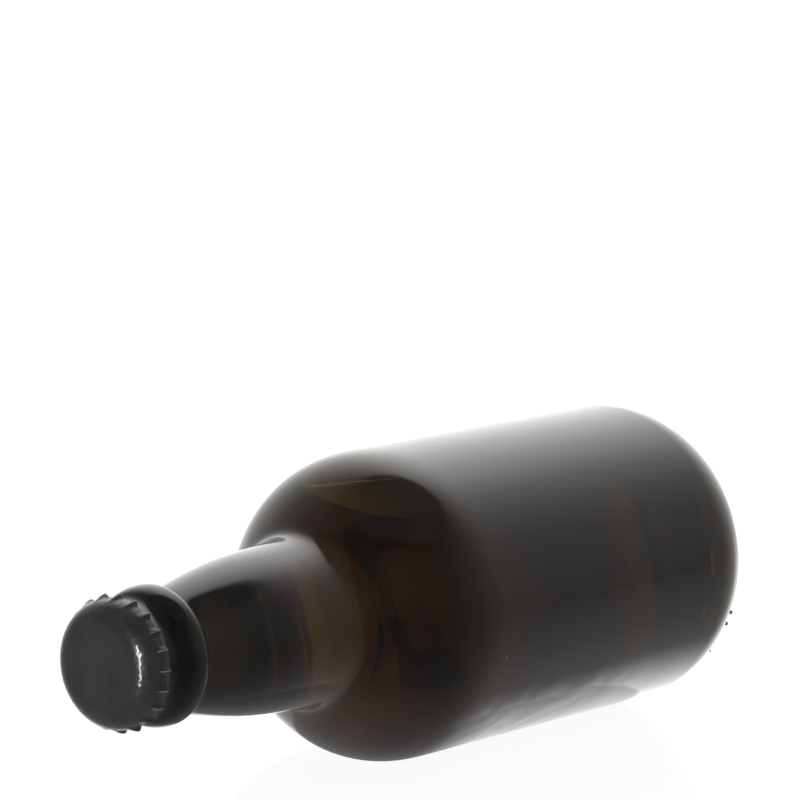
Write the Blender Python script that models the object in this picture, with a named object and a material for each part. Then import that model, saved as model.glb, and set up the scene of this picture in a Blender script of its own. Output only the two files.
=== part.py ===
"""A squat brown beer bottle of 33 cl, full and shut with a crown cap, lying on its side.

Sizes are in millimetres. A place on the bottle is given by its distance from the cap's top along the
bottle, and by its radius. The finished bottle lies along X with its cap towards -X. A slope is in
degrees and climbs towards the base, and a pull is the length of a curve's handle.
"""

import math

import bmesh
import bpy
from mathutils import Matrix, Vector

MM = 0.001

# Crown cap, pressed from sheet with 21 flutes
CAP_CORNER = 4.8
CAP_RADIUS = 13.5
CAP_HEIGHT = 6.2
SKIRT_MIDDLE = 5.5
CAP_SKIN = 0.3
CAP_TOP_AND_LINER = 1.0
FLUTES = 21
FLUTE_START = 3.0
FLUTE_TIP_RADIUS = 14.4
FLUTE_VALLEY_RADIUS = 13.2
FLUTE_SHARPNESS = 1.5
FIRST_FLUTE_ANGLE = 15.7

# Mouth of the bottle, under the cap
LIP_TOP = 1.35
LIP_INNER_RADIUS = 9.6
CAP_CLEARANCE = 0.5
LOCKING_RING_PULL = 1.2
GROOVE = (8.0, 12.0)
BORE_RADIUS = 8.4
BORE_START = 2.8
BORE_END = 13.0
BORE_PULL = 2.5

# Bead round the neck below the cap
BEAD_CREST = (16.0, 14.75)
BEAD_HEIGHT = 2.7
BEAD_FRONT = 5.0
BEAD_FRONT_TURN = -65.0
BEAD_REAR = 2.4
BEAD_REAR_TURN = 60.0
BEAD_FOOT_PULL = 1.3
BEAD_HEEL_PULL = 0.8

# Neck, shoulder, body and heel
NECK_ROOT = (19.3, 12.35)
NECK_ROOT_SLOPE = 13.9
NECK_ROOT_PULL = 20.9
NECK_END = (54.2, 17.77)
NECK_END_SLOPE = 4.4
NECK_END_PULL = 11.0
WAIST_RADIUS = 10.0
WAIST_ROOT_PULL = 7.1
WAIST_END_PULL = 5.8
SHOULDER_ROOT = (64.8, 23.13)
SHOULDER_SLOPE = 47.0
SHOULDER_ROOT_PULL = 15.1
SHOULDER_END_PULL = 8.1
SHOULDER_END = 90.7
BODY_RADIUS = 33.8
BODY_END = 165.8
HEEL_LENGTH = 17.2
HEEL_DROP = 16.5
HEEL_TURN = 60.0

# Foot and pushed-up base
FOOT_RADIUS = 5.0
FOOT_TURN = 128.0
PUSH_UP = 3.8
BASE_PULL = 9.0

# Glass thickness, the beer's clearance to the glass, and its level above the bottle's axis
WALL = 2.8
BASE_WALL = 4.0
GAP = 0.3
BEER_LEVEL = 24.0

# Raised dots of the mould's code on the heel, at these angles round the bottle
HEEL_DOT_PLACE = 174.8
HEEL_DOT_ANGLES = (193.0, 198.5, 213.5)
HEEL_DOT_RADIUS = 0.5

# Flat spot that the bottle rests on
FLAT_DEPTH = 0.16

GLASS_SEGMENTS = 48
BEER_SEGMENTS = 40
SEGMENTS_PER_FLUTE = 5
SAME_POINT = 0.01
SHARP_EDGE = 35.0


def direction(slope):
    """A step of one millimetre along the profile at this slope."""
    return Vector((math.cos(math.radians(slope)), math.sin(math.radians(slope))))


def inside(point, slope, depth):
    """The point this far below a surface that has this slope there."""
    along = direction(slope)
    return Vector(point) + depth * Vector((along.y, -along.x))


def arc(centre, radii, start, end, steps):
    """An elliptic arc: its widest place is at 0 degrees, its end towards the base at 90 degrees."""
    angles = [math.radians(start + (end - start) * step / steps) for step in range(steps + 1)]
    return [Vector((centre[0] + radii[0] * math.sin(a), centre[1] + radii[1] * math.cos(a))) for a in angles]


def arc_slope(radii, angle):
    """The slope of an elliptic arc at this angle."""
    turn = math.radians(angle)
    return math.degrees(math.atan2(-radii[1] * math.sin(turn), radii[0] * math.cos(turn)))


def sweep(first, first_pull, last, last_pull, steps):
    """A Bezier curve that leaves first along first_pull and reaches last along last_pull."""
    first, last = Vector(first), Vector(last)
    corners = (first, first + first_pull, last - last_pull, last)
    points = []
    for step in range(steps + 1):
        t = step / steps
        weights = ((1 - t) ** 3, 3 * (1 - t) ** 2 * t, 3 * (1 - t) * t**2, t**3)
        points.append(sum((w * corner for w, corner in zip(weights, corners)), Vector((0, 0))))
    return points


def joined(*runs):
    """One profile from several runs, without the points that two of them share."""
    profile = []
    for run in runs:
        for point in run:
            if not profile or (Vector(point) - profile[-1]).length > SAME_POINT:
                profile.append(Vector(point))
    return profile


def cap_corner(depth, top, steps):
    """The cap's rounded edge this far inside its outer face, from this distance below its top."""
    radius = CAP_CORNER - depth
    first = math.acos((CAP_CORNER - top) / radius)
    angles = [first + (math.pi / 2 - first) * step / steps for step in range(steps + 1)]
    middle = CAP_RADIUS - CAP_CORNER
    return [Vector((CAP_CORNER - radius * math.cos(a), middle + radius * math.sin(a))) for a in angles]


def lip_line():
    """Over the lip and down the locking ring that the cap grips, to the groove below it."""
    corner = cap_corner(CAP_SKIN + CAP_CLEARANCE, LIP_TOP, 3)
    pull = LOCKING_RING_PULL * direction(0)
    return joined([(LIP_TOP, LIP_INNER_RADIUS)], corner, sweep(corner[-1], pull, GROOVE, pull, 3))


def bead_line():
    """From the groove over the bead to the root of the neck."""
    centre = (BEAD_CREST[0], BEAD_CREST[1] - BEAD_HEIGHT)
    front_radii, rear_radii = (BEAD_FRONT, BEAD_HEIGHT), (BEAD_REAR, BEAD_HEIGHT)
    front = arc(centre, front_radii, BEAD_FRONT_TURN, 0, 4)
    rear = arc(centre, rear_radii, 0, BEAD_REAR_TURN, 3)
    front_pull = BEAD_FOOT_PULL * direction(arc_slope(front_radii, BEAD_FRONT_TURN))
    rear_pull = BEAD_HEEL_PULL * direction(arc_slope(rear_radii, BEAD_REAR_TURN))
    rise = sweep(GROOVE, BEAD_FOOT_PULL * direction(0), front[0], front_pull, 2)
    fall = sweep(rear[-1], rear_pull, NECK_ROOT, BEAD_HEEL_PULL * direction(NECK_ROOT_SLOPE), 2)
    return joined(rise, front, rear, fall)


def wall_line(depth, base_depth, steps):
    """Neck, shoulder, body and heel, this far inside the outer face of the glass."""
    neck = sweep(
        inside(NECK_ROOT, NECK_ROOT_SLOPE, depth),
        NECK_ROOT_PULL * direction(NECK_ROOT_SLOPE),
        inside(NECK_END, NECK_END_SLOPE, depth),
        NECK_END_PULL * direction(NECK_END_SLOPE),
        steps,
    )
    grow = 1 + depth / WAIST_RADIUS
    waist = sweep(
        neck[-1],
        WAIST_ROOT_PULL * grow * direction(NECK_END_SLOPE),
        inside(SHOULDER_ROOT, SHOULDER_SLOPE, depth),
        WAIST_END_PULL * grow * direction(SHOULDER_SLOPE),
        steps - 1,
    )
    shrink = 1 - depth / BODY_RADIUS
    shoulder = sweep(
        waist[-1],
        SHOULDER_ROOT_PULL * shrink * direction(SHOULDER_SLOPE),
        (SHOULDER_END, BODY_RADIUS - depth),
        SHOULDER_END_PULL * shrink * direction(0),
        steps,
    )
    heel_centre = (BODY_END, BODY_RADIUS - HEEL_DROP)
    heel = arc(heel_centre, (HEEL_LENGTH - base_depth, HEEL_DROP - depth), 0, HEEL_TURN, steps)
    return joined(neck, waist, shoulder, heel)


def heel_slope(depth, base_depth):
    """Slope of the wall where the heel ends, this far inside the outer face."""
    return arc_slope((HEEL_LENGTH - base_depth, HEEL_DROP - depth), HEEL_TURN)


def foot_line():
    """The round foot that the bottle stands on when it is upright."""
    slope = heel_slope(0, 0)
    centre = inside(wall_line(0, 0, 2)[-1], slope, FOOT_RADIUS)
    return arc(centre, (FOOT_RADIUS, FOOT_RADIUS), -slope, FOOT_TURN, 4)


def bottle_length():
    return max(point.x for point in foot_line())


def floor_line(start, slope, thickness):
    """From the heel or foot to the centre of the pushed-up base, this far above its outer face."""
    middle = (bottle_length() - PUSH_UP - thickness, 0)
    return sweep(start, BASE_PULL * direction(slope), middle, BASE_PULL * direction(-90), 3)


def inner_line(gap):
    """The bore, the widening into the neck, the inside of the walls and the floor, less a gap."""
    wall, base = WALL + gap, BASE_WALL + gap
    start, end = (BORE_START, BORE_RADIUS - gap), (BORE_END, BORE_RADIUS - gap)
    neck = inside(NECK_ROOT, NECK_ROOT_SLOPE, wall)
    widening = sweep(end, BORE_PULL * direction(0), neck, BORE_PULL * direction(NECK_ROOT_SLOPE), 2)
    walls = wall_line(wall, base, 5)
    return joined([start], widening, walls, floor_line(walls[-1], heel_slope(wall, base), base))


def turned(profile, segments):
    """A body turned round the X axis from a profile that starts and ends on the axis."""
    mesh = bmesh.new()
    verts = [mesh.verts.new((point.x * MM, point.y * MM, 0)) for point in profile]
    edges = [mesh.edges.new(pair) for pair in zip(verts[:-1], verts[1:])]
    bmesh.ops.spin(mesh, geom=verts + edges, axis=(1, 0, 0), angle=2 * math.pi, steps=segments)
    bmesh.ops.remove_doubles(mesh, verts=mesh.verts, dist=SAME_POINT / 5 * MM)
    bmesh.ops.recalc_face_normals(mesh, faces=mesh.faces)
    return mesh


def cut_level(mesh, height, remove):
    """Removes what lies above or below a level plane at this height and closes the cut."""
    cut = bmesh.ops.bisect_plane(
        mesh,
        geom=mesh.verts[:] + mesh.edges[:] + mesh.faces[:],
        plane_co=(0, 0, height * MM),
        plane_no=(0, 0, 1 if remove == "above" else -1),
        clear_outer=True,
    )
    edges = [edge for edge in cut["geom_cut"] if isinstance(edge, bmesh.types.BMEdge)]
    bmesh.ops.contextual_create(mesh, geom=edges)
    bmesh.ops.recalc_face_normals(mesh, faces=mesh.faces)


def glass_mesh():
    """The hollow bottle: out along its inside, over the lip, and back down its outside."""
    foot = foot_line()
    outside = joined(lip_line(), bead_line(), wall_line(0, 0, 6), foot, floor_line(foot[-1], -FOOT_TURN, 0))
    mesh = turned(joined(reversed(inner_line(0)), outside), GLASS_SEGMENTS)
    cut_level(mesh, FLAT_DEPTH - BODY_RADIUS, "below")
    return mesh


def beer_mesh():
    """The beer, level under a bubble of air along the upper side of the lying bottle."""
    front = CAP_TOP_AND_LINER + GAP
    mesh = turned(joined([(front, 0), (front, BORE_RADIUS - GAP)], inner_line(GAP)), BEER_SEGMENTS)
    cut_level(mesh, BEER_LEVEL, "above")
    return mesh


def crimp(mesh):
    """Presses the flutes into the skirt of the turned cap, deeper towards its edge."""
    for vert in mesh.verts:
        down = (vert.co.x / MM - FLUTE_START) / (CAP_HEIGHT - FLUTE_START)
        if down <= 0:
            continue
        depth = down * down * (3 - 2 * down)
        radius = math.hypot(vert.co.y, vert.co.z)
        angle = math.atan2(vert.co.z, vert.co.y) - math.radians(FIRST_FLUTE_ANGLE)
        ridge = (0.5 + 0.5 * math.cos(FLUTES * angle)) ** FLUTE_SHARPNESS
        edge = FLUTE_VALLEY_RADIUS + (FLUTE_TIP_RADIUS - FLUTE_VALLEY_RADIUS) * ridge
        scale = 1 + depth * (edge - CAP_RADIUS) * MM / radius
        vert.co.y *= scale
        vert.co.z *= scale


def cap_mesh():
    """The crown cap with its sealing liner, crimped over the locking ring."""
    outer = [(SKIRT_MIDDLE, CAP_RADIUS), (CAP_HEIGHT, CAP_RADIUS)]
    inner = [(place, radius - CAP_SKIN) for place, radius in outer]
    lining = joined([(CAP_TOP_AND_LINER, 0)], cap_corner(CAP_SKIN, CAP_TOP_AND_LINER, 3), inner)
    profile = joined([(0, 0)], cap_corner(0, 0, 4), outer, reversed(lining))
    mesh = turned(profile, FLUTES * SEGMENTS_PER_FLUTE)
    turn = Matrix.Rotation(math.radians(FIRST_FLUTE_ANGLE), 3, "X")
    bmesh.ops.rotate(mesh, verts=mesh.verts, matrix=turn)
    crimp(mesh)
    return mesh


def material(name, colour, roughness, transmission=0.0, ior=1.5):
    made = bpy.data.materials.new(name)
    made.use_nodes = True
    made.diffuse_color = (*colour, 1)
    shader = made.node_tree.nodes["Principled BSDF"]
    shader.inputs["Base Color"].default_value = (*colour, 1)
    shader.inputs["Roughness"].default_value = roughness
    shader.inputs["Metallic"].default_value = 0.0
    shader.inputs["Transmission Weight"].default_value = transmission
    shader.inputs["IOR"].default_value = ior
    return made


def piece(name, mesh, finish, parent):
    """A named object from the mesh, shaded smooth but for its sharp edges."""
    data = bpy.data.meshes.new(name)
    mesh.to_mesh(data)
    mesh.free()
    data.shade_smooth()
    data.set_sharp_from_angle(angle=math.radians(SHARP_EDGE))
    data.materials.append(finish)
    made = bpy.data.objects.new(name, data)
    bpy.context.scene.collection.objects.link(made)
    made.parent = parent
    return made


def add_heel_dots(bottle, parent):
    """Joins the raised dots to the heel."""
    cosine = math.sqrt(1 - ((HEEL_DOT_PLACE - BODY_END) / HEEL_LENGTH) ** 2)
    radius = BODY_RADIUS - HEEL_DROP + HEEL_DROP * cosine
    for number, angle in enumerate(HEEL_DOT_ANGLES, 1):
        turn = math.radians(angle)
        place = Matrix.Translation(
            Vector((HEEL_DOT_PLACE, radius * math.cos(turn), radius * math.sin(turn))) * MM
        )
        mesh = bmesh.new()
        bmesh.ops.create_icosphere(mesh, subdivisions=1, radius=HEEL_DOT_RADIUS * MM, matrix=place)
        dot = piece(f"heel_dot_{number}", mesh, bottle.data.materials[0], parent)
        dot.hide_render = True
        dot.display_type = "WIRE"
        union = bottle.modifiers.new(f"heel dot {number}", "BOOLEAN")
        union.operation = "UNION"
        union.solver = "EXACT"
        union.object = dot


for old in list(bpy.data.objects):
    bpy.data.objects.remove(old, do_unlink=True)

lying = bpy.data.objects.new("lying_bottle", None)
bpy.context.scene.collection.objects.link(lying)
lying.location = (-bottle_length() / 2 * MM, 0, (BODY_RADIUS - FLAT_DEPTH) * MM)

brown_glass = material("brown_glass", (0.07, 0.035, 0.012), 0.04, transmission=1.0, ior=1.52)
glass = piece("glass_bottle", glass_mesh(), brown_glass, lying)
add_heel_dots(glass, lying)
piece("beer", beer_mesh(), material("beer", (0.55, 0.27, 0.05), 0.02, transmission=1.0, ior=1.34), lying)
piece("crown_cap", cap_mesh(), material("black_lacquer", (0.02, 0.02, 0.021), 0.38), lying)
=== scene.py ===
"""Looks of a full brown beer bottle with a black crown cap, lying on its side on a white table.

Sizes are in millimetres unless a name says otherwise. A place on the bottle is given by its distance
from the cap's top along the bottle and by its radius, and the bottle lies along X, cap towards -X.
"""

import math

import bpy
from mathutils import Matrix, Vector


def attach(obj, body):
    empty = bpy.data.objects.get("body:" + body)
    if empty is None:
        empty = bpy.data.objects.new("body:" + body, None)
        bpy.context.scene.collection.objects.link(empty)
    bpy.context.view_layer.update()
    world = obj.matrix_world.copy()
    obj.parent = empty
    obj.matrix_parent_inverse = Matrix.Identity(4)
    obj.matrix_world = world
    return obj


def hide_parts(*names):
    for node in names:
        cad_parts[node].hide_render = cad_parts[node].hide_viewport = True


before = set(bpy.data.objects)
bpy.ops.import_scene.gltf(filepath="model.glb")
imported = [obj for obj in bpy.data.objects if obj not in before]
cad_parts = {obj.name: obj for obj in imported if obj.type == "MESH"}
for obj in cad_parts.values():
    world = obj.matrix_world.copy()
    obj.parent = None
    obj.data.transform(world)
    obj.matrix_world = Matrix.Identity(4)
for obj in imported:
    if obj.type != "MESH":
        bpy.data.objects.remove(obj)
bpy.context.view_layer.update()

# Bottle: dark brown container glass, blown in a two-part mould as one hollow piece. It has a bead
# round the neck below the cap, a bulged neck, a round shoulder and heel, and a pushed-up base.
MM = 0.001
BOTTLE_LENGTH = 181.402
AXIS_HEIGHT = 33.64
AXIS = (0, 0, AXIS_HEIGHT * MM)
BODY_RADIUS = 33.797
WALL = 2.8
BASE_WALL = 4.0
LIP = ((1.35, 9.6), (1.35, 10.4), (2.2, 11.7), (3.6, 12.6), (5.2, 12.75), (6.6, 12.4), (8.0, 12.0))
MOUTH = ((2.8, 8.4), (1.8, 8.8), (1.35, 9.6))
BORE_RADIUS = 8.4
BORE_START = 2.8
BORE_STEP = 2.04
BORE_STEPS = 5
BEAD_CREST = (16.0, 14.75)
BEAD_HEIGHT = 2.7
BEAD_FRONT = 5.0
BEAD_FRONT_TURN = -65
BEAD_REAR = 2.4
BEAD_REAR_TURN = 60
NECK_ROOT = (19.3, 12.35)
NECK_ROOT_SLOPE = 13.9
NECK_END = (54.2, 17.77)
NECK_END_SLOPE = 4.4
WAIST_RADIUS = 10.0
SHOULDER_ROOT = (64.8, 23.13)
SHOULDER_SLOPE = 47.0
SHOULDER_END = 90.7
BODY_END = 165.8
BODY_STEPS = 12
HEEL_LENGTH = 17.19
HEEL_DROP = 16.5
HEEL_TURN = 60.0
FOOT_RADIUS = 5.0
FOOT_TURN = 128.0
PUSH_UP = 3.8
# A pull is how far a curve keeps to the direction of its end.
GROOVE_PULL = 1.3
BEAD_PULL = 0.8
NECK_PULLS = (20.9, 11.0)
WAIST_PULLS = (7.1, 5.8)
SHOULDER_PULLS = (15.1, 8.1)
WIDENING_PULL = 2.5
FLOOR_PULL = 9
OUTER_STEPS = 30
INNER_STEPS = 24
GLASS_TURN_STEPS = 256
SAME_POINT = 0.005
SAME_VERTEX = 0.002
FINEST_CUT = 0.0001


def at(point):
    """Where a point of a profile is, on the upper side of the lying bottle."""
    return Vector((point[0] - BOTTLE_LENGTH / 2, 0, AXIS_HEIGHT + point[1])) * MM


def direction(slope):
    return Vector((math.cos(math.radians(slope)), math.sin(math.radians(slope))))


def inside(point, slope, depth):
    """The point this far below a surface that has this slope there."""
    along = direction(slope)
    return Vector(point) + depth * Vector((along.y, -along.x))


def arc(centre, radii, start, end, steps):
    """An elliptic arc: its widest place is at 0 degrees, its end towards the base at 90 degrees."""
    points = []
    for step in range(steps + 1):
        turn_by = math.radians(start + (end - start) * step / steps)
        points.append(
            Vector((centre[0] + radii[0] * math.sin(turn_by), centre[1] + radii[1] * math.cos(turn_by)))
        )
    return points


def arc_slope(radii, angle):
    turn_by = math.radians(angle)
    return math.degrees(math.atan2(-radii[1] * math.sin(turn_by), radii[0] * math.cos(turn_by)))


def sweep(first, first_pull, last, last_pull, steps):
    """A smooth curve that leaves first along first_pull and reaches last along last_pull."""
    first, last = Vector(first), Vector(last)
    corners = (first, first + first_pull, last - last_pull, last)
    points = []
    for step in range(steps + 1):
        t = step / steps
        weights = ((1 - t) ** 3, 3 * (1 - t) ** 2 * t, 3 * (1 - t) * t**2, t**3)
        points.append(sum((w * corner for w, corner in zip(weights, corners)), Vector((0, 0))))
    return points


def joined(*runs):
    """One profile from several runs, without the points that two of them share."""
    profile = []
    for run in runs:
        for point in run:
            if not profile or (Vector(point) - profile[-1]).length > SAME_POINT:
                profile.append(Vector(point))
    return profile


def bead_line():
    """From the groove under the cap over the bead to the root of the neck."""
    centre = (BEAD_CREST[0], BEAD_CREST[1] - BEAD_HEIGHT)
    front_radii = (BEAD_FRONT, BEAD_HEIGHT)
    rear_radii = (BEAD_REAR, BEAD_HEIGHT)
    front = arc(centre, front_radii, BEAD_FRONT_TURN, 0, 16)
    rear = arc(centre, rear_radii, 0, BEAD_REAR_TURN, 12)
    front_pull = GROOVE_PULL * direction(arc_slope(front_radii, BEAD_FRONT_TURN))
    rear_pull = BEAD_PULL * direction(arc_slope(rear_radii, BEAD_REAR_TURN))
    rise = sweep(LIP[-1], GROOVE_PULL * direction(0), front[0], front_pull, 5)
    fall = sweep(rear[-1], rear_pull, NECK_ROOT, BEAD_PULL * direction(NECK_ROOT_SLOPE), 6)
    return joined(rise, front, rear, fall)


def wall_line(depth, base_depth, steps):
    """Neck, shoulder, body and heel, this far inside the outer face of the glass."""
    neck = sweep(
        inside(NECK_ROOT, NECK_ROOT_SLOPE, depth),
        NECK_PULLS[0] * direction(NECK_ROOT_SLOPE),
        inside(NECK_END, NECK_END_SLOPE, depth),
        NECK_PULLS[1] * direction(NECK_END_SLOPE),
        steps,
    )
    grow = 1 + depth / WAIST_RADIUS
    waist = sweep(
        neck[-1],
        WAIST_PULLS[0] * grow * direction(NECK_END_SLOPE),
        inside(SHOULDER_ROOT, SHOULDER_SLOPE, depth),
        WAIST_PULLS[1] * grow * direction(SHOULDER_SLOPE),
        steps,
    )
    shrink = 1 - depth / BODY_RADIUS
    shoulder = sweep(
        waist[-1],
        SHOULDER_PULLS[0] * shrink * direction(SHOULDER_SLOPE),
        (SHOULDER_END, BODY_RADIUS - depth),
        SHOULDER_PULLS[1] * shrink * direction(0),
        steps,
    )
    body = []
    for step in range(BODY_STEPS + 1):
        body.append((SHOULDER_END + (BODY_END - SHOULDER_END) * step / BODY_STEPS, BODY_RADIUS - depth))
    radii = (HEEL_LENGTH - base_depth, HEEL_DROP - depth)
    heel = arc((BODY_END, BODY_RADIUS - HEEL_DROP), radii, 0, HEEL_TURN, steps)
    return joined(neck, waist, shoulder, body, heel)


def heel_slope(depth, base_depth):
    return arc_slope((HEEL_LENGTH - base_depth, HEEL_DROP - depth), HEEL_TURN)


def floor_line(start, slope, thickness):
    """From the heel or foot to the centre of the pushed-up base, this far above its outer face."""
    middle = (BOTTLE_LENGTH - PUSH_UP - thickness, 0)
    return sweep(start, FLOOR_PULL * direction(slope), middle, FLOOR_PULL * direction(-90), 10)


def inner_line(gap):
    """The bore, the widening into the neck, the inside of the walls and the floor, less a gap."""
    wall, base = WALL + gap, BASE_WALL + gap
    bore = [(BORE_START + step * BORE_STEP, BORE_RADIUS - gap) for step in range(BORE_STEPS + 1)]
    widening = sweep(
        bore[-1],
        WIDENING_PULL * direction(0),
        inside(NECK_ROOT, NECK_ROOT_SLOPE, wall),
        WIDENING_PULL * direction(NECK_ROOT_SLOPE),
        5,
    )
    walls = wall_line(wall, base, INNER_STEPS)
    return joined(bore, widening, walls, floor_line(walls[-1], heel_slope(wall, base), base))


def draw(name, profile):
    """A line of edges along the profile, drawn on one vertex by extruding it from point to point."""
    bpy.ops.object.select_all(action="DESELECT")
    bpy.ops.mesh.primitive_plane_add(size=MM, location=at(profile[0]))
    made = bpy.context.object
    made.name = made.data.name = name
    bpy.ops.object.mode_set(mode="EDIT")
    bpy.ops.mesh.select_all(action="SELECT")
    bpy.ops.mesh.merge(type="CENTER")
    for start, end in zip(profile, profile[1:]):
        bpy.ops.mesh.extrude_region_move(TRANSFORM_OT_translate={"value": at(end) - at(start)})
    return made


def close_seams():
    """Merges the vertices that meet where a turned mesh joins itself, and turns its faces outwards."""
    bpy.ops.mesh.select_all(action="SELECT")
    bpy.ops.mesh.remove_doubles(threshold=SAME_VERTEX * MM)
    bpy.ops.mesh.normals_make_consistent(inside=False)


def turn(steps, angle=360.0):
    """Spins the drawn profile round the bottle's axis."""
    bpy.ops.mesh.select_all(action="SELECT")
    bpy.ops.mesh.spin(steps=steps, angle=math.radians(angle), center=AXIS, axis=(1, 0, 0))
    close_seams()


def settle(sharpest):
    """Leaves edit mode with the piece's object at the origin and its faces smooth up to an angle."""
    bpy.ops.object.mode_set(mode="OBJECT")
    bpy.ops.object.transform_apply(location=True, rotation=True, scale=True)
    bpy.ops.object.shade_smooth_by_angle(angle=math.radians(sharpest))


outer_wall = wall_line(0, 0, OUTER_STEPS)
foot_start = heel_slope(0, 0)
foot_centre = inside(outer_wall[-1], foot_start, FOOT_RADIUS)
foot = arc(foot_centre, (FOOT_RADIUS, FOOT_RADIUS), -foot_start, FOOT_TURN, 16)
outside = joined(LIP, bead_line(), outer_wall, foot, floor_line(foot[-1], -FOOT_TURN, 0))
glass_inside = joined(reversed(inner_line(0)), MOUTH)
bottle = draw("bottle", joined(glass_inside, outside))
turn(GLASS_TURN_STEPS)
# The flat spot that the bottle lies on.
bpy.ops.mesh.bisect(
    plane_co=(0, 0, 0), plane_no=(0, 0, 1), clear_inner=True, use_fill=True, threshold=FINEST_CUT * MM
)
settle(35)

# The mould's code on the heel is a few small raised dots.
HEEL_DOT_RADIUS = 0.5
HEEL_DOT_PLACE = 174.8
HEEL_DOT_ANGLES = (193.0, 198.5, 213.5)
heel_share = (HEEL_DOT_PLACE - BODY_END) / HEEL_LENGTH
heel_radius = BODY_RADIUS - HEEL_DROP + HEEL_DROP * math.sqrt(1 - heel_share**2)
dots = []
for angle in HEEL_DOT_ANGLES:
    across, up = heel_radius * direction(angle)
    dot_centre = Vector((HEEL_DOT_PLACE - BOTTLE_LENGTH / 2, across, AXIS_HEIGHT + up)) * MM
    bpy.ops.object.select_all(action="DESELECT")
    bpy.ops.mesh.primitive_uv_sphere_add(
        segments=20, ring_count=12, radius=HEEL_DOT_RADIUS * MM, location=dot_centre
    )
    settle(40)
    dots.append(bpy.context.object)
for dot in dots:
    dot.select_set(True)
bottle.select_set(True)
bpy.context.view_layer.objects.active = bottle
bpy.ops.object.join()

GLASS_TINT = (0.0125, 0.0076, 0.0012)
# How much more light than this tint the glass lets through, by the distance from the cap's top. This is
# a painted glow on the glass's own brown: set high where amber light shows through, at the neck, the
# waist and the base, and low along the body.
GLASS_GLOW_BY_PLACE = (
    (0, 0.12), (34, 0.12), (38, 4), (46, 4), (52, 0.8), (57, 2.0), (61, 7), (66, 8), (70, 5),
    (75, 1.7), (85, 1.4), (95, 0.6), (105, 0.25), (160, 0.25), (172, 0.4), (178.5, 2),
)
GLASS_IOR = 1.52
# A pattern is given by its scale, its detail and how rough that detail is.
SMEARS = (45.0, 3.0, 0.6)
SMEAR_RANGE = (0.35, 0.75)
SMEAR_ROUGHNESS = (0.015, 0.05)
# The mould left waves in the glass along the lower side of the body. They grow between these two
# heights, and fade at both ends, given here from the middle of the bottle towards its base.
WAVES = (52.0, 2.0, 0.55)
WAVE_HEIGHTS = (27, 14)
WAVE_SHOULDER_END = (-14, 4)
WAVE_HEEL_END = (60, 35)
WAVE_DEPTH = 0.9
RIPPLES = (38.0, 1.5, 0.45)
RIPPLE_STRENGTH = 0.35
RIPPLE_DEPTH = 0.08
PIT_CELLS = 75.0
PIT_RADII_IN_CELLS = (0.015, 0.06)
CELLS_WITHOUT_PIT = 0.86
PIT_DEPTH = 0.1
SCRATCHES = (1.0, 2.0)
SCRATCH_STRETCH = (60, 1500, 1500)
SCRATCH_TILT = (0.3, 0.25, 0.4)
SCRATCH_RANGE = (0.66, 0.74)
SCRATCH_STRENGTH = 0.25
SCRATCH_DEPTH = 0.02


def new_material(name):
    made = bpy.data.materials.new(name)
    made.use_nodes = True
    return made, made.node_tree, made.node_tree.nodes["Principled BSDF"]


def plug(tree, value, socket):
    """Links the value to the socket if it is a node's output, and otherwise sets the socket to it."""
    if isinstance(value, bpy.types.NodeSocket):
        tree.links.new(value, socket)
    else:
        socket.default_value = value


def fill(tree, node, *values, **settings):
    """Sets a node's properties and sockets by name, and its sockets in their order."""
    for name, value in settings.items():
        if hasattr(node, name):
            setattr(node, name, value)
        else:
            plug(tree, value, node.inputs[name.replace("_", " ")])
    for value, socket in zip(values, node.inputs):
        plug(tree, value, socket)
    return node


def add(tree, kind, *values, **settings):
    return fill(tree, tree.nodes.new(kind), *values, **settings)


def calculate(tree, operation, *values):
    return add(tree, "ShaderNodeMath", *values, operation=operation).outputs["Value"]


def multiply(tree, first, *others):
    for other in others:
        first = calculate(tree, "MULTIPLY", first, other)
    return first


def mapped(tree, value, start, end, low=0.0, high=1.0, curve="LINEAR"):
    """Low where the value is at the start, high where it is at the end, and no lower or higher."""
    made = add(
        tree,
        "ShaderNodeMapRange",
        interpolation_type=curve,
        Value=value,
        From_Min=start,
        From_Max=end,
        To_Min=low,
        To_Max=high,
    )
    return made.outputs["Result"]


def faded(tree, value, start, end):
    return mapped(tree, value, start, end, curve="SMOOTHSTEP")


def ramp(tree, value, colours):
    """A colour that follows the value through these stops, each of a position and a colour."""
    made = add(tree, "ShaderNodeValToRGB", Fac=value)
    stops = made.color_ramp.elements
    for number, (position, colour) in enumerate(colours):
        stop = stops[number] if number < 2 else stops.new(position)
        stop.position = position
        stop.color = colour
    return made.outputs["Color"]


def noise(tree, spot, scale, detail, roughness=0.5):
    made = add(tree, "ShaderNodeTexNoise", Vector=spot, Scale=scale, Detail=detail, Roughness=roughness)
    return made.outputs["Fac"]


def between(tree, value, ends):
    """Grows from 0 at the first end to 1 at the second, both in millimetres."""
    return faded(tree, value, ends[0] * MM, ends[1] * MM)


def relief(tree, height, depth, strength=1.0, below=None):
    """A relief of this depth, over the one below it."""
    made = add(tree, "ShaderNodeBump", Height=height, Strength=strength, Distance=depth * MM)
    if below is not None:
        plug(tree, below, made.inputs["Normal"])
    return made.outputs["Normal"]


def grey(value):
    return (value, value, value, 1)


def dress(piece, *materials):
    piece.data.materials.clear()
    for material in materials:
        piece.data.materials.append(material)


brown_glass, tree, shader = new_material("brown glass")
glass_spot = add(tree, "ShaderNodeTexCoord").outputs["Object"]
sides = add(tree, "ShaderNodeSeparateXYZ", Vector=glass_spot)
# Painted glow: the glass's brown tint is made lighter along the bottle where amber light shows through.
glass_glow_colours = []
for distance, factor in GLASS_GLOW_BY_PLACE:
    colour = [min(1.0, factor * part) for part in GLASS_TINT]
    glass_glow_colours.append((distance / BOTTLE_LENGTH, colour + [1]))
half_length = BOTTLE_LENGTH / 2 * MM
along_bottle = mapped(tree, sides.outputs["X"], -half_length, half_length)
tint_and_painted_glow = ramp(tree, along_bottle, glass_glow_colours)

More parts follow.
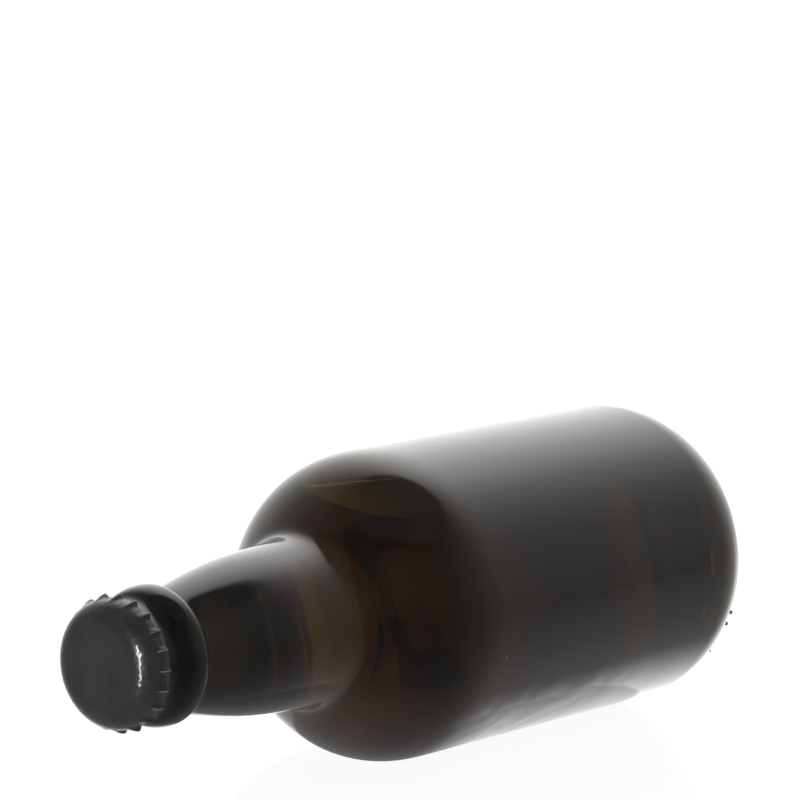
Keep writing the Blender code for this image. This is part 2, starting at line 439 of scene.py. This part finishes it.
smears = noise(tree, glass_spot, *SMEARS)
roughness = mapped(tree, smears, *SMEAR_RANGE, *SMEAR_ROUGHNESS)

lower_side = between(tree, sides.outputs["Z"], WAVE_HEIGHTS)
before_heel = between(tree, sides.outputs["X"], WAVE_HEEL_END)
past_shoulder = between(tree, sides.outputs["X"], WAVE_SHOULDER_END)
waves = noise(tree, glass_spot, *WAVES)
low_waves = multiply(tree, lower_side, before_heel, past_shoulder, waves)
ripples = noise(tree, glass_spot, *RIPPLES)

cells = add(tree, "ShaderNodeTexVoronoi", Vector=glass_spot, Scale=PIT_CELLS)
cell_kind = add(tree, "ShaderNodeSeparateColor", Color=cells.outputs["Color"])
pits = faded(tree, cells.outputs["Distance"], *PIT_RADII_IN_CELLS)
without_pit = calculate(tree, "LESS_THAN", cell_kind.outputs["Red"], CELLS_WITHOUT_PIT)
pit_height = calculate(tree, "MAXIMUM", pits, without_pit)

lengthwise = add(
    tree, "ShaderNodeMapping", Vector=glass_spot, Rotation=SCRATCH_TILT, Scale=SCRATCH_STRETCH
)
streaks = noise(tree, lengthwise.outputs["Vector"], *SCRATCHES)
scratches = mapped(tree, streaks, *SCRATCH_RANGE)

wave_relief = relief(tree, low_waves, WAVE_DEPTH)
ripple_relief = relief(tree, ripples, RIPPLE_DEPTH, RIPPLE_STRENGTH, wave_relief)
pit_relief = relief(tree, pit_height, PIT_DEPTH, 1.0, ripple_relief)
scratch_relief = relief(tree, scratches, SCRATCH_DEPTH, SCRATCH_STRENGTH, pit_relief)
fill(
    tree,
    shader,
    Base_Color=tint_and_painted_glow,
    Roughness=roughness,
    Transmission_Weight=1.0,
    IOR=GLASS_IOR,
    Normal=scratch_relief,
)

clear_glass, tree, shader = new_material("inside of the glass")
fill(tree, shader, Base_Color=grey(1), Roughness=0.0, Transmission_Weight=1.0, IOR=GLASS_IOR)

dress(bottle, brown_glass, clear_glass)
# The tint is on the outer faces alone, so that it counts once for each wall.
WALL_END = BODY_END + 0.5
for face in bottle.data.polygons:
    outwards = Vector((0, face.center.y, face.center.z - AXIS_HEIGHT * MM))
    distance = face.center.x / MM + BOTTLE_LENGTH / 2
    in_wall = distance <= WALL_END and face.normal.dot(outwards) < 0
    in_floor = distance > WALL_END and face.normal.x < -0.01
    face.material_index = 1 if in_wall or in_floor else 0
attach(bottle, "root")
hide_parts("glass_bottle")

# Beer: the drink fills the bottle up to a level along its upper side, under a bubble of air. It
# reaches just into the wall of the glass, so that no gap shows between them.
LEVEL_ABOVE_AXIS = 24.0
REACH_INTO_WALL = 0.06
CAP_TOP_AND_LINER = 1.0
BELOW_LINER = 0.3
BEER_TURN_STEPS = 160
BEER_IOR = 1.34
BEER_COLOUR = (0.9, 0.72, 0.3, 1)
BEER_DEPTH_OF_COLOUR = 30.0

beer_top = CAP_TOP_AND_LINER + BELOW_LINER
mouth_line = [(beer_top, 0), (beer_top, BORE_RADIUS + REACH_INTO_WALL)]
beer = draw("beer_fill", joined(mouth_line, inner_line(-REACH_INTO_WALL)))
turn(BEER_TURN_STEPS)
level = (0, 0, (AXIS_HEIGHT + LEVEL_ABOVE_AXIS) * MM)
bpy.ops.mesh.bisect(
    plane_co=level, plane_no=(0, 0, 1), clear_outer=True, use_fill=True, threshold=FINEST_CUT * MM
)
settle(35)

amber_beer, tree, shader = new_material("amber beer")
fill(tree, shader, Base_Color=grey(1), Roughness=0.0, Transmission_Weight=1.0, IOR=BEER_IOR)
soak = add(tree, "ShaderNodeVolumeAbsorption", Color=BEER_COLOUR, Density=BEER_DEPTH_OF_COLOUR)
fill(tree, tree.nodes["Material Output"], Volume=soak.outputs["Volume"])
dress(beer, amber_beer)
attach(beer, "root")
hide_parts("beer")

# Crown cap: sheet steel with satin black lacquer, pressed with 21 flutes and crimped over the lip.
# Its sealing liner is part of it. One flute is shaped, and then repeated round the cap.
FLUTES = 21
FLUTE_STEPS = 16
FLUTE_STEP = 360 / FLUTES / FLUTE_STEPS
FIRST_FLUTE = 15.7
FLUTE_START = 2.3
CAP_HEIGHT = 6.2
CAP_RADIUS = 13.5
CAP_CORNER = 4.8
CAP_SKIN = 0.3
CREST_RADIUS = 14.4
VALLEY_RADIUS = 13.5
CREST_SHARPNESS = 4.5
INSIDE_THE_FLUTES = 9
SKIRT_PLACES = (5.1, 5.4, 5.7, 5.95)


def cap_corner(depth, top, steps):
    """The cap's rounded edge this far inside its outer face, from this distance below its top."""
    radius = CAP_CORNER - depth
    first = math.acos((CAP_CORNER - top) / radius)
    middle = CAP_RADIUS - CAP_CORNER
    points = []
    for step in range(steps + 1):
        turn_by = first + (math.pi / 2 - first) * step / steps
        below_top = CAP_CORNER - radius * math.cos(turn_by)
        points.append(Vector((below_top, middle + radius * math.sin(turn_by))))
    return points


face_line = [(0, 0), (0, 2), (0, 4.5), (0, 7), (0, 8.2)]
skirt = [(place, CAP_RADIUS) for place in SKIRT_PLACES]
cut_edge = [(6.12, CAP_RADIUS - 0.04), (CAP_HEIGHT, CAP_RADIUS - 0.15), (6.12, CAP_RADIUS - 0.26)]
skirt_back = [(place, CAP_RADIUS - CAP_SKIN) for place in reversed(SKIRT_PLACES)]
liner = [(CAP_TOP_AND_LINER, 0), (CAP_TOP_AND_LINER, 5)]
back = joined(liner, cap_corner(CAP_SKIN, CAP_TOP_AND_LINER, 10))
cap_line = joined(face_line, cap_corner(0, 0, 22), skirt, cut_edge, skirt_back, reversed(back))
cap = draw("crown_cap_lacquered", cap_line)
turn(FLUTE_STEPS, 360 / FLUTES)

bpy.ops.mesh.select_mode(type="VERT")
bpy.ops.mesh.select_all(action="DESELECT")
bpy.ops.object.mode_set(mode="OBJECT")
columns = {}
for vert in cap.data.vertices:
    spot = cap.matrix_world @ vert.co
    up = spot.z - AXIS_HEIGHT * MM
    distance = spot.x / MM + BOTTLE_LENGTH / 2
    if distance < FLUTE_START or math.hypot(spot.y, up) / MM < INSIDE_THE_FLUTES:
        continue
    column = round((math.degrees(math.atan2(up, spot.y)) - 90) / FLUTE_STEP)
    columns.setdefault((column, round(distance, 3)), []).append(vert.index)
for (column, distance), members in columns.items():
    angle = 90 + column * FLUTE_STEP
    wave = 0.5 + 0.5 * math.cos(math.radians(FLUTES * (angle - FIRST_FLUTE)))
    edge = VALLEY_RADIUS + (CREST_RADIUS - VALLEY_RADIUS) * wave**CREST_SHARPNESS
    down = min(1, (distance - FLUTE_START) / (CAP_HEIGHT - FLUTE_START))
    grow = 1 + down * down * (3 - 2 * down) * (edge / CAP_RADIUS - 1)
    for vert in cap.data.vertices:
        vert.select = vert.index in members
    bpy.ops.object.mode_set(mode="EDIT")
    bpy.ops.transform.resize(value=(1, grow, grow), center_override=AXIS)
    bpy.ops.object.mode_set(mode="OBJECT")
bpy.ops.object.mode_set(mode="EDIT")
bpy.ops.mesh.select_all(action="SELECT")
bpy.ops.mesh.spin(steps=FLUTES, angle=2 * math.pi, center=AXIS, axis=(1, 0, 0), dupli=True)
close_seams()
settle(40)

HAZE = (160.0, 3.0)
HAZE_RANGE = (0.3, 0.7)
LACQUER_TONE = (0.017, 0.027)
LACQUER_ROUGHNESS = (0.3, 0.42)
LACQUER_IOR = 1.4
# The flute crests get a painted highlight in this lighter colour, broken up by a noise pattern.
CREST_HIGHLIGHT_COLOUR = (0.22, 0.22, 0.215, 1)
HIGHLIGHT_BREAKS = (1400.0, 4.0, 0.7)
HIGHLIGHT_BREAK_RANGE = (0.38, 0.6)
WEAKEST_HIGHLIGHT = 0.25
# How close to its crest a flute gets the painted highlight, as the cosine of the angle in one wave.
HIGHLIGHT_NEAR_CREST = (0.955, 0.99)
HIGHLIGHT_FROM = (3.3, 4.2)
COAT_OF_FACE = 0.7
COAT_OF_FLUTES = 0.1
COAT_FADES = (3.0, 4.5)
COAT_ROUGHNESS = 0.1
COAT_IOR = 1.45
GRAIN = (700.0, 2.0)
GRAIN_SHARE = 0.08
# The bend round the cap's face is dented and crinkled.
BEND_RADII = (8.8, 10.8)
DENT_CELLS = 1100.0
DENT_STRENGTH = 0.7
DENT_DEPTH = 0.09

black_lacquer, tree, shader = new_material("black lacquer")
cap_spot = add(tree, "ShaderNodeTexCoord").outputs["Object"]
to_cap_top = (BOTTLE_LENGTH / 2 * MM, 0, -AXIS_HEIGHT * MM)
from_cap_top = add(tree, "ShaderNodeVectorMath", cap_spot, to_cap_top, operation="ADD").outputs["Vector"]
parts = add(tree, "ShaderNodeSeparateXYZ", Vector=from_cap_top)
round_cap = calculate(tree, "ARCTAN2", parts.outputs["Z"], parts.outputs["Y"])
in_wave = calculate(tree, "MULTIPLY_ADD", round_cap, FLUTES, -FLUTES * math.radians(FIRST_FLUTE))
# Painted highlight: lighter lines along the flute crests, from a little way down the skirt, broken up by
# noise.
crest_line = faded(tree, calculate(tree, "COSINE", in_wave), *HIGHLIGHT_NEAR_CREST)
crest_start = between(tree, parts.outputs["X"], HIGHLIGHT_FROM)
highlight_breaks = mapped(tree, noise(tree, cap_spot, *HIGHLIGHT_BREAKS), *HIGHLIGHT_BREAK_RANGE, WEAKEST_HIGHLIGHT)
crest_highlight = multiply(tree, crest_line, crest_start, highlight_breaks)
haze = noise(tree, cap_spot, *HAZE)
lacquer_tone = mapped(tree, haze, *HAZE_RANGE, *LACQUER_TONE)
lacquer_and_crest_highlight = add(
    tree, "ShaderNodeMix", data_type="RGBA", Factor=crest_highlight, A=lacquer_tone, B=CREST_HIGHLIGHT_COLOUR
)
on_flutes = between(tree, parts.outputs["X"], COAT_FADES)
coat = mapped(tree, on_flutes, 0.0, 1.0, COAT_OF_FACE, COAT_OF_FLUTES)

grain = noise(tree, cap_spot, *GRAIN)
off_axis = add(tree, "ShaderNodeVectorMath", from_cap_top, (0, 1, 1), operation="MULTIPLY")
cap_radius = add(tree, "ShaderNodeVectorMath", off_axis.outputs["Vector"], operation="LENGTH")
bend = between(tree, cap_radius.outputs["Value"], BEND_RADII)
dents = add(tree, "ShaderNodeTexVoronoi", feature="SMOOTH_F1", Vector=cap_spot, Scale=DENT_CELLS)
crinkles = multiply(tree, bend, dents.outputs["Distance"])
lacquer_height = calculate(tree, "MULTIPLY_ADD", grain, GRAIN_SHARE, crinkles)
lacquer_relief = relief(tree, lacquer_height, DENT_DEPTH, DENT_STRENGTH)
fill(
    tree,
    shader,
    Base_Color=lacquer_and_crest_highlight.outputs["Result"],
    Roughness=mapped(tree, haze, *HAZE_RANGE, *LACQUER_ROUGHNESS),
    IOR=LACQUER_IOR,
    Normal=lacquer_relief,
    Coat_Weight=coat,
    Coat_Roughness=COAT_ROUGHNESS,
    Coat_IOR=COAT_IOR,
    Coat_Normal=lacquer_relief,
)
dress(cap, black_lacquer)
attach(cap, "root")
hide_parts("crown_cap")

# Table: a white glossy board that runs out of the picture on all sides. It shows a faint mirror image
# of the bottle. In the glass its light is a painted glow: a painted pool of light beside the body's
# lower side, and painted shade further forward.
TABLE_SIZE = 8
PAINTED_SHADE_TOWARDS = (-0.57, -0.82, 0)
TABLE_PAINTED_SHADE = ((0, 0.5), (0.2, 0.5), (0.27, 0.42), (0.34, 0.32), (0.45, 0.24), (1, 0.16))
PAINTED_SHADE_REACH = (-50, 250)
STRIP_START = (-5, 28)
STRIP_EDGE = (-45, -22)
PAINTED_LIGHT_STRENGTH = 4.2
GLOSS_FACING_AND_SLANTED = (0.03, 0.88)
GLOSS_ROUGHNESS = 0.1
SHOWN_BRIGHTNESS = 0.93
SHOWN_MIRROR = 0.035
MIRROR_ROUGHNESS = 0.06
SHOWN_SHADE = 0.12

bpy.ops.object.select_all(action="DESELECT")
bpy.ops.mesh.primitive_plane_add(size=TABLE_SIZE, location=(0, 0, 0))
table = bpy.context.object
table.name = "white_table"
white, tree, shader = new_material("white board")
tree.nodes.remove(shader)
ray = add(tree, "ShaderNodeLightPath")
table_spot = add(tree, "ShaderNodeTexCoord").outputs["Object"]
# Painted shade: the table's glow, as seen in the glass, darkens towards the camera's side.
nearness = add(tree, "ShaderNodeVectorMath", table_spot, PAINTED_SHADE_TOWARDS, operation="DOT_PRODUCT")
share = mapped(tree, nearness.outputs["Value"], PAINTED_SHADE_REACH[0] * MM, PAINTED_SHADE_REACH[1] * MM)
painted_shade = ramp(tree, share, [(position, grey(value)) for position, value in TABLE_PAINTED_SHADE])
sides = add(tree, "ShaderNodeSeparateXYZ", Vector=table_spot)
# Painted pool of light: a brighter strip beside the body's lower side, not seen through the glass.
strip_length = between(tree, sides.outputs["X"], STRIP_START)
strip_width = between(tree, sides.outputs["Y"], STRIP_EDGE)
near_side = calculate(tree, "LESS_THAN", sides.outputs["Y"], 0.0)
painted_light_strip = multiply(tree, strip_length, strip_width, near_side)
off_the_glass = calculate(tree, "GREATER_THAN", painted_light_strip, ray.outputs["Is Transmission Ray"])
strength = mapped(tree, multiply(tree, painted_light_strip, off_the_glass), 0.0, 1.0, 1.0, PAINTED_LIGHT_STRENGTH)
# The table glows with this painted light, though it is no lamp.
painted_glow = add(tree, "ShaderNodeEmission", Color=painted_shade, Strength=strength)
gloss = add(tree, "ShaderNodeBsdfGlossy", Color=grey(1), Roughness=GLOSS_ROUGHNESS)
slant = add(tree, "ShaderNodeLayerWeight", Blend=0.5)
gloss_share = mapped(tree, slant.outputs["Facing"], 0.0, 1.0, *GLOSS_FACING_AND_SLANTED)
reflected = add(
    tree, "ShaderNodeMixShader", gloss_share, painted_glow.outputs["Emission"], gloss.outputs["BSDF"]
)
pale = add(tree, "ShaderNodeEmission", Color=grey(1), Strength=SHOWN_BRIGHTNESS)
mirror = add(tree, "ShaderNodeBsdfGlossy", Color=grey(SHOWN_MIRROR), Roughness=MIRROR_ROUGHNESS)
chalk = add(tree, "ShaderNodeBsdfDiffuse", Color=grey(SHOWN_SHADE))
mirroring = add(tree, "ShaderNodeAddShader", pale.outputs["Emission"], mirror.outputs["BSDF"])
shown = add(tree, "ShaderNodeAddShader", mirroring.outputs["Shader"], chalk.outputs["BSDF"])
board = add(
    tree,
    "ShaderNodeMixShader",
    ray.outputs["Is Camera Ray"],
    reflected.outputs["Shader"],
    shown.outputs["Shader"],
)
fill(tree, tree.nodes["Material Output"], Surface=board.outputs["Shader"])
dress(table, white)

# Studio light: a large soft panel behind the bottle, fading to a dark room on the camera's side, and
# one narrow lamp at the left.
STRENGTH = 2.5
# Brightness of the room by the compass angle in degrees, and its share by the height of the direction.
ROOM_LIGHT = (
    (-180, 0.165), (-105, 0.165), (-90, 0.2), (-75, 0.26), (-60, 0.31), (-45, 0.38),
    (-30, 0.54), (-15, 0.82), (0, 1.24), (15, 1.78), (30, 2.16), (45, 2.1),
    (60, 1.5), (75, 0.9), (90, 0.48), (105, 0.32), (135, 0.26), (180, 0.165),
)
UPWARD = ((0, 0.84), (0.26, 1.0), (0.6, 1.0), (0.71, 0.93), (0.8, 0.78), (0.85, 0.6))
ROOF = 0.21
ROOF_FROM = (0.82, 0.88)
LAMP = 34.0
LAMP_HEADING = -163.0
LAMP_HALF_WIDTH = 4.5
LAMP_HEIGHT = 0.1
LAMP_HALF_HEIGHT = 0.26
BACKDROP = 1.05

room = bpy.data.worlds.new("studio")
bpy.context.scene.world = room
room.use_nodes = True
tree = room.node_tree
tree.nodes.clear()
way = add(tree, "ShaderNodeTexCoord")
split = add(tree, "ShaderNodeSeparateXYZ", Vector=way.outputs["Generated"])
compass = calculate(tree, "ARCTAN2", split.outputs["Y"], split.outputs["X"])
round_room = mapped(tree, compass, -math.pi, math.pi)
light_stops = [(angle / 360 + 0.5, grey(value / STRENGTH)) for angle, value in ROOM_LIGHT]
room_light = ramp(tree, round_room, light_stops)
upward = ramp(tree, split.outputs["Z"], [(height, grey(value)) for height, value in UPWARD])
dimmed = add(
    tree,
    "ShaderNodeMix",
    data_type="RGBA",
    blend_type="MULTIPLY",
    Factor=1.0,
    A=room_light,
    B=upward,
)
roof = faded(tree, split.outputs["Z"], *ROOF_FROM)
panel = add(
    tree,
    "ShaderNodeMix",
    data_type="RGBA",
    Factor=roof,
    A=dimmed.outputs["Result"],
    B=grey(ROOF / STRENGTH),
)
lamp_side = calculate(
    tree, "COMPARE", compass, math.radians(LAMP_HEADING), math.radians(LAMP_HALF_WIDTH)
)
lamp_height = calculate(tree, "COMPARE", split.outputs["Z"], LAMP_HEIGHT, LAMP_HALF_HEIGHT)
in_lamp = multiply(tree, lamp_side, lamp_height)
lit = add(
    tree,
    "ShaderNodeMix",
    data_type="RGBA",
    Factor=in_lamp,
    A=panel.outputs["Result"],
    B=grey(LAMP / STRENGTH),
)
studio = add(tree, "ShaderNodeBackground", Color=lit.outputs["Result"], Strength=STRENGTH)
backdrop = add(tree, "ShaderNodeBackground", Color=grey(1), Strength=BACKDROP)
ray = add(tree, "ShaderNodeLightPath")
both = add(
    tree,
    "ShaderNodeMixShader",
    ray.outputs["Is Camera Ray"],
    studio.outputs["Background"],
    backdrop.outputs["Background"],
)
add(tree, "ShaderNodeOutputWorld", Surface=both.outputs["Shader"])

# Camera: a long lens, a little above the table and before the cap, rolled a few degrees.
CAMERA_PLACE = (-0.742631, -0.596435, 0.313710)
HEADING = 38.942
TILT_DOWN = 13.881
ROLL = 6.49

view = bpy.data.cameras.new("camera")
view.lens = 207
view.sensor_width = 36
view.clip_start = 0.05
view.clip_end = 50
camera = bpy.data.objects.new("camera", view)
bpy.context.scene.collection.objects.link(camera)
camera.matrix_world = (
    Matrix.Translation(CAMERA_PLACE)
    @ Matrix.Rotation(math.radians(HEADING) - math.pi / 2, 4, "Z")
    @ Matrix.Rotation(math.pi / 2 - math.radians(TILT_DOWN), 4, "X")
    @ Matrix.Rotation(math.radians(ROLL), 4, "Z")
)
bpy.context.scene.camera = camera
bpy.context.scene.view_settings.view_transform = "Standard"
